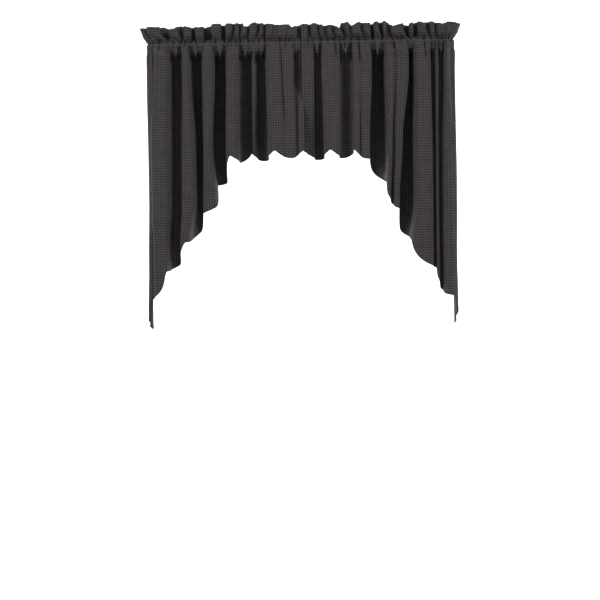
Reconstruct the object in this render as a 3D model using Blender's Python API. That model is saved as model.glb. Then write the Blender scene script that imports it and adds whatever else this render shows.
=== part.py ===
"""A swag curtain: two scalloped panels that share one rod, short in the middle and long at the sides.

Each panel is one width of cotton, 36 inches across, turned over at the top. Two rows of stitching
hold the turned part down: above them stands the ruffle, between them lies the rod pocket. The
cloth is gathered on the rod, runs round the rod's corner and back to the wall, and falls in folds.
Sizes are in millimetres, and become metres where a mesh is made.

The rod line is the line of the rod's middle: straight along X, then round a corner and back to the
wall along Y. "Run" is the distance along it from the middle of the curtain, "out" the distance in
front of it, and "cloth" the distance across the flat panel from its inner edge.
"""

import math
from collections import namedtuple

import bmesh
import bpy
import numpy as np

MM = 0.001
INCH = 25.4

# The panel as it is cut and hemmed
PANEL_WIDTH = 36 * INCH
LONG_DROP = 36 * INCH
SHORT_DROP = 16 * INCH
LEVEL_SCALLOPS = 3
SCALLOP_BULGE = 1.0 * INCH
SLANT_START_DROP = 12.0
CLOTH_THICKNESS = 1.4

# The heading: heights are above and below the middle of the rod
RUFFLE_TOP = 65.0
UPPER_SEAM = 14.0
LOWER_SEAM = -36.0
POCKET_HEIGHTS = (-14.0, 11.0)
RUFFLE_HEIGHTS = (UPPER_SEAM, 36.0, RUFFLE_TOP)
ROD_HALF_DEPTH = 5.2
SEAM_MARGIN = 1.5
PIECE_GAP = 0.3

# The rod line that the cloth follows
ROD_CORNER_X = 461.0
ROD_CORNER_RADIUS = 16.0
RETURN_DEPTH = 88.0
CORNER_RUN = ROD_CORNER_X - ROD_CORNER_RADIUS
WALL_RUN = CORNER_RUN + ROD_CORNER_RADIUS * math.pi / 2 + RETURN_DEPTH - ROD_CORNER_RADIUS
WALL_END = (WALL_RUN, WALL_RUN)

# Heights at which the fold tables give each fold's place
TOP, MID, LOW, TAIL = -75.0, -300.0, -466.0, -590.0

# How finely the lines are worked out and the solids divided
LINE_STEPS = np.linspace(0.0, PANEL_WIDTH, 325)
BEND_STEPS = np.linspace(0.0, 1.0, 10)
COLUMNS_PER_SCALLOP = 9
PANEL_ROWS = 11

# One row a fold, from the inner edge out to the wall. "cloth" is the cloth's own place at the
# middle of the fold's crest. top, mid, low and tail are the runs of the crest's two edges at those
# heights. "front" is how far the crest stands out at the same four heights, and "lip" is how
# steeply the two sides fall: about 0.7 is a soft side, and over 1 hangs over the hollow.
Fold = namedtuple("Fold", "name cloth top mid low tail front lip")

LEFT_EDGE = (-4.4, -4.4)
LEFT_FOLDS = (
    Fold("inner edge", 0, LEFT_EDGE, LEFT_EDGE, LEFT_EDGE, LEFT_EDGE, (4, 15, 15, 15), (0.7, 0.7)),
    Fold("first", 41, (25, 45), (20, 46), (20, 46), (20, 46), (15, 19, 19, 19), (0.7, 0.7)),
    Fold("second", 94, (60, 106), (56, 103), (56, 103), (56, 103), (19, 20, 20, 20), (0.7, 1.0)),
    Fold("sunk", 188, (133, 154), (136, 154), (136, 154), (136, 154), (15, -6, -6, -6), (0.8, 0.8)),
    Fold("third", 295, (187, 226), (191, 230), (191, 230), (191, 230), (22, 21, 21, 21), (0.75, 1.0)),
    Fold("fourth", 468, (261, 299), (271, 300), (256, 303), (256, 303), (20, 17, 16, 16), (1.0, 0.75)),
    Fold("fifth", 608, (332, 359), (321, 363), (321, 366), (341, 374), (18, 19, 18, 14), (0.7, 1.0)),
    Fold("sixth", 744, (393, 441), (396, 450), (399, 450), (406, 450), (21, 20, 19, 17), (0.8, 0.6)),
    Fold("corner", 800, (455, 471), (460, 476), (460, 476), (460, 476), (7, 7, 6, 6), (0.6, 0.7)),
    Fold("return, front", 839, (484, 494), (487, 497), (487, 497), (487, 497), (6, 6, 5, 4), (0.7, 0.7)),
    Fold("return, back", 877, (510, 520), (511, 521), (511, 521), (511, 521), (6, 6, 5, 4), (0.7, 0.7)),
    Fold("wall end", PANEL_WIDTH, WALL_END, WALL_END, WALL_END, WALL_END, (1, 1, 1, 1), (0.7, 0.7)),
)
LEFT_CUSPS = (0.0, 101.6, 203.2, 304.8, 406.4, 508.0, 609.6, 735.0, 803.0, PANEL_WIDTH)

RIGHT_EDGE = (5.1, 5.1)
RIGHT_FOLDS = (
    Fold("inner edge", 0, RIGHT_EDGE, RIGHT_EDGE, RIGHT_EDGE, RIGHT_EDGE, (10, -6, -6, -6), (0.7, 0.7)),
    Fold("first", 22, (15, 36), (14, 32), (14, 32), (14, 32), (16, -3, -3, -3), (0.7, 0.9)),
    Fold("second", 105, (63, 124), (66, 114), (66, 114), (66, 114), (21, 20, 20, 20), (0.75, 1.0)),
    Fold("third, inner", 212, (157, 174), (153, 173), (153, 173), (153, 173), (21, 19, 19, 19), (1.0, 0.7)),
    Fold("third, outer", 250, (182, 214), (179, 204), (179, 204), (179, 204), (22, 22, 22, 22), (0.7, 1.0)),
    Fold("fourth, inner", 424, (251, 279), (253, 272), (250, 264), (250, 264), (20, 18, 17, 17), (0.75, 0.7)),
    Fold("fourth, outer", 472, (289, 326), (281, 303), (274, 291), (274, 291), (23, 22, 18, 18), (0.7, 1.0)),
    Fold("fifth", 648, (338, 390), (334, 392), (334, 392), (323, 390), (21, 21, 20, 16), (1.0, 0.7)),
    Fold("slight", 725, (405, 414), (402, 412), (400, 410), (400, 409), (14, 6, 7, 8), (0.7, 0.7)),
    Fold("sixth", 788, (432, 446), (426, 448), (423, 448), (421, 448), (19, 18, 16, 14), (0.8, 0.6)),
    Fold("corner", 829, (457, 471), (458, 474), (458, 474), (458, 474), (7, 7, 6, 5), (0.6, 0.7)),
    Fold("return", 872, (498, 508), (498, 508), (498, 508), (498, 508), (5, 5, 4, 3), (0.7, 0.7)),
    Fold("wall end", PANEL_WIDTH, WALL_END, WALL_END, WALL_END, WALL_END, (1, 1, 1, 1), (0.7, 0.7)),
)
RIGHT_CUSPS = (0.0, 101.6, 203.2, 304.8, 406.4, 508.0, 609.6, 711.2, 812.8, PANEL_WIDTH)

# Runs of the ruffle's crests, which the gathering makes smaller and closer than the folds below
LEFT_RUFFLE = (28, 55, 104, 146, 173, 218, 252, 282, 311, 339, 388, 434, 464, 492, 518)
RIGHT_RUFFLE = (41, 84, 117, 153, 189, 222, 253, 293, 325, 364, 393, 425, 449, 470, 496, 520)

# The ruffle's top edge is uneven: its heights at runs along the rod line
Edge = namedtuple("Edge", "runs heights")
LEFT_TOP = Edge((-4, 26, 34, 61, 139, 168, 173, 236, 269, 307, 322, 332, 362, 382, 414, 433, 470),
                (65, 53, 63, 61, 70, 57, 68, 68, 67, 57, 64, 58, 66, 54, 66, 60, 62))
RIGHT_TOP = Edge((5, 49, 72, 99, 118, 123, 144, 156, 175, 199, 223, 244, 262, 279, 310, 326, 351, 371,
                  385, 410, 427, 445, 460, 470),
                 (64, 64, 57, 60, 48, 66, 66, 55, 66, 62, 65, 68, 66, 52, 61, 58, 67, 60,
                  65, 61, 56, 63, 58, 62))

# How far the ruffle's crests stand out and its hollows sink, and how far its top edge leans forward.
# Its evenness runs from 0, cloth shared as in the folds below, to 1, cloth shared evenly.
RUFFLE_FRONT = 10.0
RUFFLE_DEEPEST = -16.0
RUFFLE_FLARE = 4.0
RUFFLE_EVENNESS = 0.6

# How much of the ruffle's depth is left at the stitching, and how softly the pocket rounds the rod
SEAM_SQUEEZE = 0.5
POCKET_SOFTNESS = 6.0

CLOTH_COLOUR = (0.057, 0.052, 0.055, 1.0)
CLOTH_ROUGHNESS = 0.92


def place(run, out, side):
    """Turn distances along and in front of the rod line into X and Y, for the side -1 or +1."""
    turn = np.clip((run - CORNER_RUN) / ROD_CORNER_RADIUS, 0.0, math.pi / 2)
    back = np.maximum(run - CORNER_RUN - ROD_CORNER_RADIUS * math.pi / 2, 0.0)
    across = np.minimum(run, CORNER_RUN)
    x = across + (ROD_CORNER_RADIUS + out) * np.sin(turn)
    y = ROD_CORNER_RADIUS - (ROD_CORNER_RADIUS + out) * np.cos(turn) + back
    return x * side, y


def bend(start, start_pull, end_pull, end):
    """One value along a smooth bend between two ends, each with its own pull."""
    t = BEND_STEPS
    return ((1 - t) ** 3 * start + 3 * (1 - t) ** 2 * t * start_pull
            + 3 * (1 - t) * t ** 2 * end_pull + t ** 3 * end)


def fold_side(crest_run, crest_out, edge_run, hollow_run, hollow_out, lip):
    """One side of a fold, from the middle of its crest to the middle of the hollow beside it."""
    reach = hollow_run - crest_run
    lean = ((edge_run - crest_run) / reach - 0.5) * 4 / 3
    run = bend(crest_run, crest_run + (lip + lean) * reach, hollow_run - (lip - lean) * reach, hollow_run)
    out = bend(crest_out, crest_out, hollow_out, hollow_out)
    return run, out


def hollow_between(inner, outer, hollow_out):
    """The cloth from the middle of one crest, through the hollow, to the middle of the next."""
    inner_run = (inner["edges"][0] + inner["edges"][1]) / 2
    outer_run = (outer["edges"][0] + outer["edges"][1]) / 2
    hollow_run = (inner["edges"][1] + outer["edges"][0]) / 2
    down = fold_side(inner_run, inner["front"], inner["edges"][1], hollow_run, hollow_out, inner["lip"][1])
    up = fold_side(outer_run, outer["front"], outer["edges"][0], hollow_run, hollow_out, outer["lip"][0])
    run = np.concatenate((down[0], up[0][-2::-1]))
    out = np.concatenate((down[1], up[1][-2::-1]))
    return run, out


def lengths(run, out, side):
    """Distance of each point of a line from its start."""
    x, y = place(run, out, side)
    return np.concatenate(([0.0], np.cumsum(np.hypot(np.diff(x), np.diff(y)))))


def cloth_line(crests, side):
    """The line of the hanging cloth, seen from above, at each step of cloth across the panel.

    Each hollow is made as deep as it takes to hold the cloth between its two crests.
    """
    cloth_at, runs, outs = [], [], []
    for inner, outer in zip(crests, crests[1:]):
        cloth = outer["cloth"] - inner["cloth"]
        highest = min(inner["front"], outer["front"])
        hollow_out = highest - 10.0
        for _ in range(30):
            run, out = hollow_between(inner, outer, hollow_out)
            spare = cloth - lengths(run, out, side)[-1]
            hollow_out = min(hollow_out - 0.45 * spare, highest)
        run, out = hollow_between(inner, outer, hollow_out)
        along = lengths(run, out, side)
        cloth_at.append(inner["cloth"] + cloth * along / along[-1])
        runs.append(run)
        outs.append(out)
    cloth_at = np.concatenate(cloth_at)
    return (np.interp(LINE_STEPS, cloth_at, np.concatenate(runs)),
            np.interp(LINE_STEPS, cloth_at, np.concatenate(outs)))


def crests_at(folds, height):
    """The crests of a fold table at one height."""
    heights = (TAIL, LOW, MID, TOP)
    crests = []
    for fold in folds:
        inner = [edges[0] for edges in (fold.tail, fold.low, fold.mid, fold.top)]
        outer = [edges[1] for edges in (fold.tail, fold.low, fold.mid, fold.top)]
        edges = (np.interp(height, heights, inner), np.interp(height, heights, outer))
        crests.append({"cloth": fold.cloth, "edges": edges, "lip": fold.lip,
                       "front": np.interp(height, heights, fold.front[::-1])})
    return crests


def ruffle_crests(folds, ruffle_runs):
    """The crests of the ruffle. Its gathers share the cloth more evenly than the folds below do."""
    fold_runs = [sum(fold.top) / 2 for fold in folds]
    fold_cloth = [fold.cloth for fold in folds]
    runs = (fold_runs[0],) + ruffle_runs + (fold_runs[-1],)
    crests = []
    for run in runs:
        even = PANEL_WIDTH * (run - runs[0]) / (runs[-1] - runs[0])
        hanging = np.interp(run, fold_runs, fold_cloth)
        crests.append({"cloth": hanging + (even - hanging) * RUFFLE_EVENNESS, "edges": (run, run),
                       "lip": (0.8, 0.8), "front": RUFFLE_FRONT})
    for crest, before, after in zip(crests[1:-1], runs, runs[2:]):
        middle = crest["edges"][0]
        crest["edges"] = ((middle + (before + middle) / 2) / 2, (middle + (after + middle) / 2) / 2)
    crests[0]["front"] = 0.0
    crests[-1]["front"] = 0.0
    return crests


def smooth_step(value, low, high):
    """0 at low, 1 at high, and a smooth ramp between."""
    t = np.clip((value - low) / (high - low), 0.0, 1.0)
    return t * t * (3 - 2 * t)


class Hang:
    """How one panel hangs: the lines of its cloth at every height."""

    def __init__(self, folds, ruffle_runs, ruffle_top, cusps, side):
        self.side = side
        self.cusps = cusps
        self.ruffle_top = ruffle_top
        self.columns = np.concatenate([np.linspace(start, end, COLUMNS_PER_SCALLOP, endpoint=False)
                                       for start, end in zip(cusps, cusps[1:])] + [[PANEL_WIDTH]])
        ruffle_run, ruffle_out = cloth_line(ruffle_crests(folds, ruffle_runs), side)
        self.ruffle = (ruffle_run, np.maximum(ruffle_out, RUFFLE_DEEPEST))
        self.heights = (TAIL, (TAIL + LOW) / 2, LOW, (LOW + MID) / 2, MID, (MID + TOP) / 2, TOP)
        self.lines = [cloth_line(crests_at(folds, height), side) for height in self.heights]

    def ruffle_point(self, cloth, squeeze):
        """Run and out of the ruffle's cloth; a squeeze of 1 leaves it open, 0 presses it flat."""
        run = np.interp(cloth, LINE_STEPS, self.ruffle[0])
        out = np.interp(cloth, LINE_STEPS, self.ruffle[1])
        return run, out * squeeze

    def fold_point(self, cloth, height):
        """Run and out of the cloth below the rod pocket."""
        runs = [np.interp(cloth, LINE_STEPS, line[0]) for line in self.lines]
        outs = [np.interp(cloth, LINE_STEPS, line[1]) for line in self.lines]
        return np.interp(height, self.heights, runs), np.interp(height, self.heights, outs)

    def panel_point(self, cloth, height):
        """Run and out of the panel, where the gathers open into the folds below the pocket."""
        gather_run, gather_out = self.ruffle_point(cloth, SEAM_SQUEEZE)
        fold_run, fold_out = self.fold_point(cloth, min(height, TOP))
        share = smooth_step(height, UPPER_SEAM, TOP)
        return gather_run + (fold_run - gather_run) * share, gather_out + (fold_out - gather_out) * share

    def pocket_point(self, cloth, height, layer):
        """Run and out of the pocket's front layer (+1) or back layer (-1), which bulge round the rod."""
        run, out = self.panel_point(cloth, height)
        swell = (layer * out + math.hypot(out, POCKET_SOFTNESS)) / 2
        return run, layer * (ROD_HALF_DEPTH + swell)


def cusp_height(number, scallops):
    """Height of the point between two scallops of the hem."""
    level = RUFFLE_TOP - SHORT_DROP + SCALLOP_BULGE
    slant_start = level - SLANT_START_DROP
    slant_step = (RUFFLE_TOP - LONG_DROP - slant_start) / (scallops - LEVEL_SCALLOPS)
    if number < LEVEL_SCALLOPS:
        return level
    return slant_start + slant_step * (number - LEVEL_SCALLOPS)


def hem_height(cloth, cusps):
    """Height of the scalloped hem. Each scallop is a parabola that bulges square to its own chord."""
    number = int(np.searchsorted(cusps[1:-1], cloth, side="right"))
    start = cusp_height(number, len(cusps) - 1)
    rise = cusp_height(number + 1, len(cusps) - 1) - start
    width = cusps[number + 1] - cusps[number]
    chord = math.hypot(width, rise)
    sideways = 4 * SCALLOP_BULGE * rise / chord
    down = 4 * SCALLOP_BULGE * width / chord
    # Across the cloth the parabola is at (width + sideways) * t - sideways * t * t
    t = np.linspace(0.0, 1.0, 60)
    share = np.interp(cloth - cusps[number], (width + sideways) * t - sideways * t * t, t)
    return start + rise * share - down * share * (1 - share)


def beside(line, side, offset):
    """A line seen from above, moved square to itself towards the front of the cloth."""
    x, y = place(line[0], line[1], side)
    along_x, along_y = np.gradient(x), np.gradient(y)
    # The inner edge is cut square, so that the two panels stand clear of each other
    along_y[0] = 0.0
    size = np.hypot(along_x, along_y)
    return x + side * along_y / size * offset, y - side * along_x / size * offset


def column_line(points):
    """Gather (run, out) points of one line into two arrays."""
    return np.array([point[0] for point in points]), np.array([point[1] for point in points])


def add_line(bm, line, side, offset, heights):
    """Add one line of the mesh's points, from the inner edge to the wall end."""
    x, y = beside(line, side, offset)
    return [bm.verts.new((a * MM, b * MM, c * MM)) for a, b, c in zip(x, y, heights)]


def add_skin(bm, lines):
    """Add quads between neighbouring lines of points, and from the last line back to the first."""
    for line, after in zip(lines, lines[1:] + lines[:1]):
        for number in range(len(line) - 1):
            bm.faces.new((line[number], after[number], after[number + 1], line[number + 1]))


def close_ends(bm, outlines):
    """Close both ends of a swept solid; each outline is the lines round one flat bit of the end."""
    for end in (0, -1):
        for outline in outlines:
            bm.faces.new([line[end] for line in outline])


def make_panel(hang):
    """The panel below the pocket, from its seam to the scalloped hem."""
    bm = bmesh.new()
    hem = np.array([hem_height(cloth, hang.cusps) for cloth in hang.columns])
    top = LOWER_SEAM - PIECE_GAP
    front, back = [], []
    for row in range(PANEL_ROWS + 1):
        heights = top + (hem - top) * row / PANEL_ROWS
        line = column_line([hang.panel_point(c, h) for c, h in zip(hang.columns, heights)])
        front.append(add_line(bm, line, hang.side, CLOTH_THICKNESS / 2, heights))
        back.append(add_line(bm, line, hang.side, -CLOTH_THICKNESS / 2, heights))
    add_skin(bm, front + back[::-1])
    close_ends(bm, list(zip(front, front[1:], back[1:], back)))
    return bm


def make_heading(hang):
    """The ruffle and the rod pocket: two layers of cloth, sewn together above and below the rod."""
    bm = bmesh.new()
    flat = np.ones(len(hang.columns))
    double = CLOTH_THICKNESS
    single = CLOTH_THICKNESS / 2

    def seam_line(height, offset):
        line = column_line([hang.panel_point(c, height) for c in hang.columns])
        return add_line(bm, line, hang.side, offset, flat * height)

    def pocket_line(height, layer, offset):
        line = column_line([hang.pocket_point(c, height, layer) for c in hang.columns])
        return add_line(bm, line, hang.side, offset, flat * height)

    def ruffle_line(height, offset):
        rise = max(height - UPPER_SEAM, 0.0) / (RUFFLE_TOP - UPPER_SEAM)
        squeeze = SEAM_SQUEEZE + (1 - SEAM_SQUEEZE) * rise
        line = column_line([hang.ruffle_point(c, squeeze) for c in hang.columns])
        heights = height + (np.interp(line[0], *hang.ruffle_top) - RUFFLE_TOP) * rise
        return add_line(bm, (line[0], line[1] + RUFFLE_FLARE * rise), hang.side, offset, heights)

    front = [seam_line(LOWER_SEAM, double)]
    front += [pocket_line(height, 1, single) for height in POCKET_HEIGHTS]
    front += [ruffle_line(height, double) for height in RUFFLE_HEIGHTS]
    back = [seam_line(LOWER_SEAM, -double)]
    back += [pocket_line(height, -1, -single) for height in POCKET_HEIGHTS]
    back += [ruffle_line(height, -double) for height in RUFFLE_HEIGHTS]
    add_skin(bm, front + back[::-1])

    bottom = seam_line(LOWER_SEAM + SEAM_MARGIN, 0.0)
    top = ruffle_line(UPPER_SEAM - SEAM_MARGIN, 0.0)
    inner_front = [pocket_line(height, 1, -single) for height in POCKET_HEIGHTS]
    inner_back = [pocket_line(height, -1, single) for height in POCKET_HEIGHTS]
    add_skin(bm, [bottom] + inner_front + [top] + inner_back[::-1])

    walls = []
    for layer, inner in ((front, inner_front), (back, inner_back)):
        inside = [bottom] + inner + [top]
        walls += list(zip(layer, layer[1:], inside[1:], inside))
    seam = len(POCKET_HEIGHTS) + 1
    ruffle = list(zip(front[seam:], front[seam + 1:], back[seam + 1:], back[seam:]))
    corners = [(front[0], bottom, back[0]), (front[seam], top, back[seam])]
    close_ends(bm, walls + ruffle + corners)
    return bm


def cotton(name):
    """The plain dark cotton of one piece."""
    material = bpy.data.materials.new(name)
    material.use_nodes = True
    shader = material.node_tree.nodes["Principled BSDF"]
    shader.inputs["Base Color"].default_value = CLOTH_COLOUR
    shader.inputs["Roughness"].default_value = CLOTH_ROUGHNESS
    shader.inputs["Metallic"].default_value = 0.0
    return material


def finish(bm, name):
    """Make the object of one piece."""
    bmesh.ops.recalc_face_normals(bm, faces=bm.faces)
    mesh = bpy.data.meshes.new(name)
    bm.to_mesh(mesh)
    bm.free()
    mesh.shade_smooth()
    mesh.materials.append(cotton(name))
    piece = bpy.data.objects.new(name, mesh)
    bpy.context.scene.collection.objects.link(piece)


for old in list(bpy.data.objects):
    bpy.data.objects.remove(old, do_unlink=True)

PANELS = (("left", LEFT_FOLDS, LEFT_RUFFLE, LEFT_TOP, LEFT_CUSPS, -1),
          ("right", RIGHT_FOLDS, RIGHT_RUFFLE, RIGHT_TOP, RIGHT_CUSPS, 1))
for word, folds, ruffle_runs, ruffle_top, cusps, side in PANELS:
    hang = Hang(folds, ruffle_runs, ruffle_top, cusps, side)
    finish(make_heading(hang), word + "_heading")
    finish(make_panel(hang), word + "_panel")
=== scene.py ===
"""The looks of a swag curtain: two scalloped panels of small-check cotton on one hidden rod."""
import math
from collections import namedtuple

import bpy
import numpy as np
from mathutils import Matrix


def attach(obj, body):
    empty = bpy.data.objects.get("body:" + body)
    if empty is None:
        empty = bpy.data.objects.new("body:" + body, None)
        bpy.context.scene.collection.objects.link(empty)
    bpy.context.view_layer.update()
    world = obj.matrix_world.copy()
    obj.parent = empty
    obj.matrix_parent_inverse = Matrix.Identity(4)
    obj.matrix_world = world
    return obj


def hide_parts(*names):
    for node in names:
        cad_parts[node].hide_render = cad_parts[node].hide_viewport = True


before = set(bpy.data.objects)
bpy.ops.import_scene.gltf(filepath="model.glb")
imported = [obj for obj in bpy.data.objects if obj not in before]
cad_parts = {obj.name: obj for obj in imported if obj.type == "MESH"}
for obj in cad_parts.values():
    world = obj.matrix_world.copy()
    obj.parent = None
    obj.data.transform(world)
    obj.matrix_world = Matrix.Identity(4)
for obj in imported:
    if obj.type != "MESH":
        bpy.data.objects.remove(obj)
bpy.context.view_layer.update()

bpy.ops.object.select_all(action="DESELECT")


# The two panels
#
# Each panel is one width of yarn-dyed cotton, woven in a small charcoal check. Its top is turned
# over and sewn twice: the ruffle stands above the upper row of stitching, and the rod pocket lies
# between the two rows. The cloth is gathered on the rod, and its scalloped edge is turned under.

MM = 0.001
INCH = 25.4

PANEL_WIDTH = 36 * INCH
LONG_DROP = 36 * INCH
SHORT_DROP = 16 * INCH
LEVEL_SCALLOPS = 3
SCALLOP_BULGE = 1.0 * INCH
SLANT_START_DROP = 12.0
SCALLOP_STEPS = np.linspace(0.0, 1.0, 80)
POINT_ROUNDING = 3.0
POINT_STEPS = 12
CLOTH_THICKNESS = 0.6
HEM_THICKNESS = 1.3
HEM_DEPTH = 7.0
HEM_STITCH_EDGE = 1.2

# Heights above and below the middle of the rod
RUFFLE_TOP = 65.0
UPPER_SEAM = 14.0
LOWER_SEAM = -36.0
ROD_TOP = 9.0
ROD_BOTTOM = -14.0
ROD_HALF_DEPTH = 4.8
LAYER_GAP = 0.75

# The rod line that the cloth follows: "run" is the distance along it from the middle, "out" the
# distance in front of it, and "cloth" the distance across the flat panel from its inner edge
ROD_CORNER_X = 461.0
ROD_CORNER_RADIUS = 16.0
RETURN_DEPTH = 88.0
CORNER_RUN = ROD_CORNER_X - ROD_CORNER_RADIUS
WALL_RUN = CORNER_RUN + ROD_CORNER_RADIUS * math.pi / 2 + RETURN_DEPTH - ROD_CORNER_RADIUS
WALL_END = (WALL_RUN, WALL_RUN)

# Heights at which the fold tables give each fold's place
TOP, MID, LOW, TAIL = -75.0, -300.0, -466.0, -590.0

# A hollow of the wide width or more is at least as deep as it is wide, up to the given depth; one
# of the narrow width or less is only as deep as its cloth makes it
HOLLOW_NARROW = 10.0
HOLLOW_WIDE = 18.0
HOLLOW_DEPTH = 30.0
NARROWEST_HOLLOW = 0.2

# The depth of a hollow is found in rounds: it starts from a first guess, and each round takes off
# a share of what is over
FIRST_DEPTH = 10.0
DEPTH_ROUNDS = 30
DEPTH_SHARE = 0.45
LEAST_GIVE = 0.01

# The cloth's line has even steps; the columns of the mesh stand closer where it faces the front
LINE_STEPS = np.linspace(0.0, PANEL_WIDTH, 700)
COLUMN_EVENNESS = 0.5
COLUMNS = 500
BEND_STEPS = np.linspace(0.0, 1.0, 24)
LINE_HEIGHTS = np.array([-850.0, -590.0, -560.0, -530.0, -497.0, -466.0, -430.0, -390.0, -345.0,
                         -300.0, -265.0, -225.0, -185.0, -150.0, -110.0, -75.0])

# One row a fold. "cloth" is the cloth's own place at the middle of the fold's crest; top, mid, low
# and tail are the runs of the crest's two edges at those heights; "front" is how far it stands out;
# "lip" is how steeply its sides fall
Fold = namedtuple("Fold", "name cloth top mid low tail front lip")

# Each panel's inner edge: the run of its two sides, and how far the ruffle's edge stands out
LEFT_EDGE = (-21.0, 12.0)
LEFT_INNER_FRONT = -6.0
LEFT_FOLDS = (
    Fold("inner edge", 0, LEFT_EDGE, LEFT_EDGE, LEFT_EDGE, LEFT_EDGE, (-4, 15, 15, 15), (0.7, 1.0)),
    Fold("first", 50, (23, 47), (20, 48), (20, 48), (20, 48), (16, 19, 19, 19), (1.1, 0.9)),
    Fold("second", 98, (58, 106), (57, 103), (57, 103), (57, 103), (19, 20, 20, 20), (0.9, 1.15)),
    Fold("sunk", 188, (134, 150), (136, 154), (136, 154), (136, 154), (-2, -20, -24, -24), (0.8, 0.8)),
    Fold("third", 295, (187, 226), (191, 230), (191, 230), (191, 230), (22, 21, 21, 21), (1.1, 1.15)),
    Fold("fourth", 468, (261, 299), (271, 300), (256, 303), (256, 303), (20, 17, 16, 16), (1.0, 0.75)),
    Fold("fifth", 608, (332, 359), (321, 363), (321, 366), (341, 374), (18, 19, 18, 14), (0.7, 1.0)),
    Fold("sixth", 744, (393, 441), (396, 450), (399, 450), (406, 450), (21, 20, 19, 17), (0.8, 0.6)),
    Fold("corner", 800, (455, 471), (460, 476), (460, 476), (460, 476), (7, 7, 6, 6), (0.6, 0.7)),
    Fold("return, front", 839, (484, 494), (487, 497), (487, 497), (487, 497), (6, 6, 5, 4), (0.7, 0.7)),
    Fold("return, back", 877, (510, 520), (511, 521), (511, 521), (511, 521), (6, 6, 5, 4), (0.7, 0.7)),
    Fold("wall end", PANEL_WIDTH, WALL_END, WALL_END, WALL_END, WALL_END, (1, 1, 1, 1), (0.7, 0.7)),
)
# Where the points between the scallops are across the cloth
LEFT_POINTS = (0.0, 101.6, 203.2, 304.8, 406.4, 508.0, 609.6, 735.0, 803.0, PANEL_WIDTH)

RIGHT_EDGE = (-6.0, 16.2)
RIGHT_INNER_FRONT = 4.0
RIGHT_FOLDS = (
    Fold("inner edge", 0, RIGHT_EDGE, RIGHT_EDGE, RIGHT_EDGE, RIGHT_EDGE, (14, -14, -16, -16), (0.7, 0.7)),
    Fold("first", 22, (16, 38), (14, 38), (14, 32), (14, 32), (15, -13, -15, -15), (0.7, 1.15)),
    Fold("second", 112, (63, 116), (66, 112), (66, 114), (66, 114), (21, 20, 20, 20), (1.15, 1.15)),
    Fold("third, inner", 216, (157, 174), (155, 173), (153, 173), (153, 173), (21, 19, 19, 19), (1.15, 0.7)),
    Fold("third, outer", 250, (182, 214), (179, 204), (179, 204), (179, 204), (22, 22, 22, 22), (0.7, 1.0)),
    Fold("fourth, inner", 424, (251, 279), (253, 272), (250, 264), (250, 264), (20, 18, 17, 17), (0.75, 0.7)),
    Fold("fourth, outer", 472, (289, 326), (281, 303), (274, 291), (274, 291), (23, 22, 18, 18), (0.7, 1.0)),
    Fold("fifth", 648, (338, 390), (334, 392), (334, 392), (323, 390), (21, 21, 20, 16), (1.0, 0.7)),
    Fold("slight", 725, (405, 414), (402, 412), (400, 410), (400, 409), (14, 6, 7, 8), (0.7, 0.7)),
    Fold("sixth", 788, (432, 446), (426, 448), (423, 448), (421, 448), (19, 18, 16, 14), (0.8, 0.6)),
    Fold("corner", 829, (457, 471), (458, 474), (458, 474), (458, 474), (7, 7, 6, 5), (0.6, 0.7)),
    Fold("return", 872, (498, 508), (498, 508), (498, 508), (498, 508), (5, 5, 4, 3), (0.7, 0.7)),
    Fold("wall end", PANEL_WIDTH, WALL_END, WALL_END, WALL_END, WALL_END, (1, 1, 1, 1), (0.7, 0.7)),
)
RIGHT_POINTS = (0.0, 108.0, 206.0, 304.8, 406.4, 508.0, 609.6, 711.2, 812.8, PANEL_WIDTH)

# The ruffle's gathers: run at the stitching, run at the top edge, and width at the top edge
Gather = namedtuple("Gather", "low high width")
LEFT_GATHERS = (Gather(10, 7, 10), Gather(38, 36, 13), Gather(70, 76, 13), Gather(104, 108, 8),
                Gather(128, 126, 14), Gather(157, 157, 10), Gather(180, 181, 11), Gather(197, 201, 10),
                Gather(225, 232, 14), Gather(274, 280, 24), Gather(332, 323, 12), Gather(350, 359, 18),
                Gather(397, 408, 34), Gather(447, 459, 8), Gather(490, 486, 14), Gather(520, 523, 14))
RIGHT_GATHERS = (Gather(32, 28, 12), Gather(60, 54, 12), Gather(76, 74, 14), Gather(104, 99, 15),
                 Gather(131, 128, 16), Gather(148, 150, 10), Gather(183, 186, 12), Gather(217, 216, 11),
                 Gather(247, 242, 15), Gather(270, 265, 16), Gather(327, 320, 18), Gather(357, 347, 15),
                 Gather(393, 384, 13), Gather(418, 407, 11), Gather(434, 441, 16), Gather(486, 490, 14),
                 Gather(516, 513, 14))

# The ruffle's uneven top edge: heights at places along the run
Edge = namedtuple("Edge", "runs heights")
LEFT_TOP = Edge((-4, 26, 34, 61, 139, 168, 173, 236, 269, 307, 322, 332, 362, 382, 414, 433, 470),
                (65, 53, 63, 61, 70, 57, 68, 68, 67, 57, 64, 58, 66, 54, 66, 60, 62))
RIGHT_TOP = Edge((5, 49, 72, 99, 118, 123, 144, 156, 175, 199, 223, 244, 262, 279, 310, 326, 351, 371,
                  385, 410, 427, 445, 460, 470),
                 (64, 64, 57, 60, 48, 66, 66, 55, 66, 62, 65, 68, 66, 52, 61, 58, 67, 60,
                  65, 61, 56, 63, 58, 62))

# How far the ruffle's gathers stand out and fall back, how far it flares at its top edge and at
# the corner, how evenly its cloth is shared out, and how far up it has fanned out and stands out
RUFFLE_FRONT = 11.0
RUFFLE_DEEPEST = -18.0
RUFFLE_FLARE = 6.0
RUFFLE_TIP_FLARE = 9.0
RUFFLE_TIP_RUN = 474.0
RUFFLE_TIP_WIDTH = 26.0
RUFFLE_EVENNESS = 0.3
SEAM_EVENNESS = 0.06
RUFFLE_FANNED = 0.7
RUFFLE_STANDING = 0.45

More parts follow.
